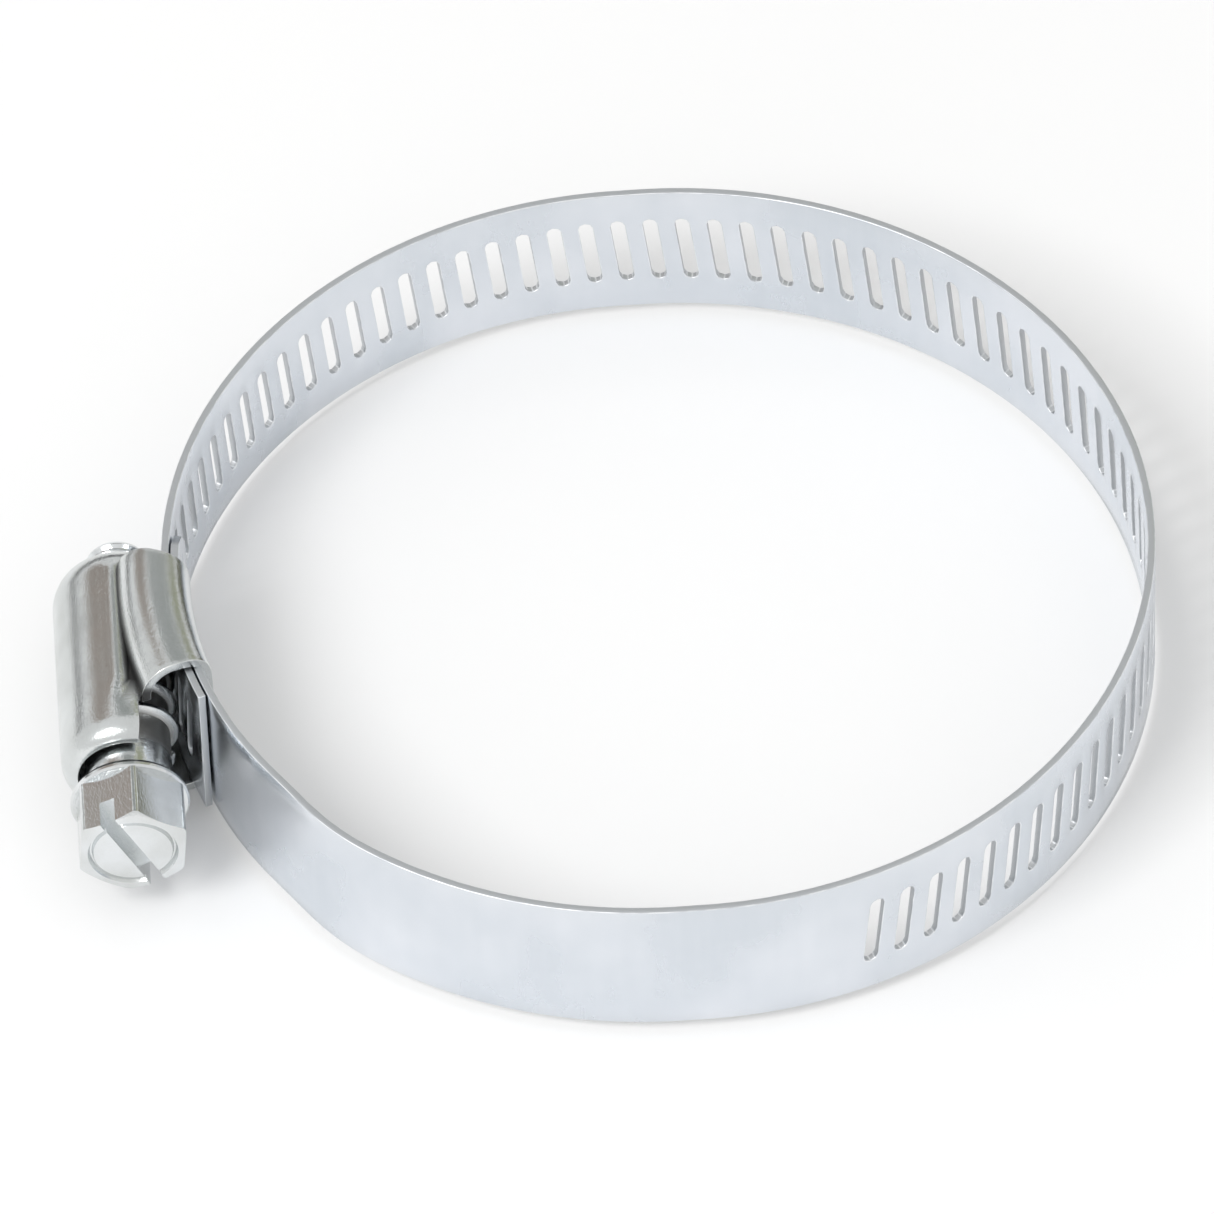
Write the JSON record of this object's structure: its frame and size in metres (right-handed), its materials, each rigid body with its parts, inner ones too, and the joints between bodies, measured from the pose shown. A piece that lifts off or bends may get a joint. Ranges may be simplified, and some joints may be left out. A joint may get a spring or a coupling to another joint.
{
  "type": "worm drive hose clamp",
  "caption": "Slotted steel band bent to a ring and closed by a stamped housing, with a hexagon head worm screw that tightens it on a hose.",
  "frame": {"origin": "centre of the hose bore, halfway up the band", "axes": "+Z along the bore; the housing is at -X and the screw lies along Y with its head towards -Y"},
  "size_m": [0.0848, 0.0744, 0.0144],
  "materials": {
    "band_steel": "smooth rolled strip with bright sheared edges",
    "housing_steel": "satin pressed sheet with soft forming marks",
    "screw_steel": "bright plated, slightly warm, with turned marks"
  },
  "bodies": {
    "clamp_body": {"housing": "housing_steel", "band_fixed_end": "band_steel"},
    "screw": {"screw": "screw_steel", "worm_thread": "screw_steel"},
    "band_length_1": {"band_length_1": "band_steel"},
    "band_length_2": {"band_length_2": "band_steel"},
    "band_length_3": {"band_length_3": "band_steel"},
    "band_length_4": {"band_length_4": "band_steel"},
    "band_length_5": {"band_length_5": "band_steel"},
    "band_length_6": {"band_length_6": "band_steel"},
    "band_free_end": {"band_free_end": "band_steel"}
  },
  "joints": [
    {"name": "screw_turn", "type": "hinge", "parent": "clamp_body", "child": "screw", "pos_m": [-0.04245, 0, 0], "axis": [0, 1, 0], "range_deg": [0, 1800]},
    {"name": "band_bend_1", "type": "hinge", "parent": "clamp_body", "child": "band_length_1", "pos_m": [-0.03444, -0.01483, 0], "axis": [0, 0, 1], "range_deg": [0, 2.83]},
    {"name": "band_bend_2", "type": "hinge", "parent": "band_length_1", "child": "band_length_2", "pos_m": [-0.01083, -0.03547, 0], "axis": [0, 0, 1], "range_deg": [0, 2.83]},
    {"name": "band_bend_3", "type": "hinge", "parent": "band_length_2", "child": "band_length_3", "pos_m": [0.02057, -0.03028, 0], "axis": [0, 0, 1], "range_deg": [0, 2.83]},
    {"name": "band_bend_4", "type": "hinge", "parent": "band_length_3", "child": "band_length_4", "pos_m": [0.03649, -0.0029, 0], "axis": [0, 0, 1], "range_deg": [0, 2.83]},
    {"name": "band_bend_5", "type": "hinge", "parent": "band_length_4", "child": "band_length_5", "pos_m": [0.02509, 0.02665, 0], "axis": [0, 0, 1], "range_deg": [0, 2.83]},
    {"name": "band_bend_6", "type": "hinge", "parent": "band_length_5", "child": "band_length_6", "pos_m": [-0.00512, 0.03645, 0], "axis": [0, 0, 1], "range_deg": [0, 2.83]},
    {"name": "band_bend_7", "type": "hinge", "parent": "band_length_6", "child": "band_free_end", "pos_m": [-0.03231, 0.02021, 0], "axis": [0, 0, 1], "range_deg": [0, 2.83]}
  ],
  "couplings": [
    {"joint": "band_bend_1", "follows": "screw_turn", "ratio": 0.0015682},
    {"joint": "band_bend_2", "follows": "screw_turn", "ratio": 0.0015682},
    {"joint": "band_bend_3", "follows": "screw_turn", "ratio": 0.0015682},
    {"joint": "band_bend_4", "follows": "screw_turn", "ratio": 0.0015682},
    {"joint": "band_bend_5", "follows": "screw_turn", "ratio": 0.0015682},
    {"joint": "band_bend_6", "follows": "screw_turn", "ratio": 0.0015682},
    {"joint": "band_bend_7", "follows": "screw_turn", "ratio": 0.0015682}
  ]
}
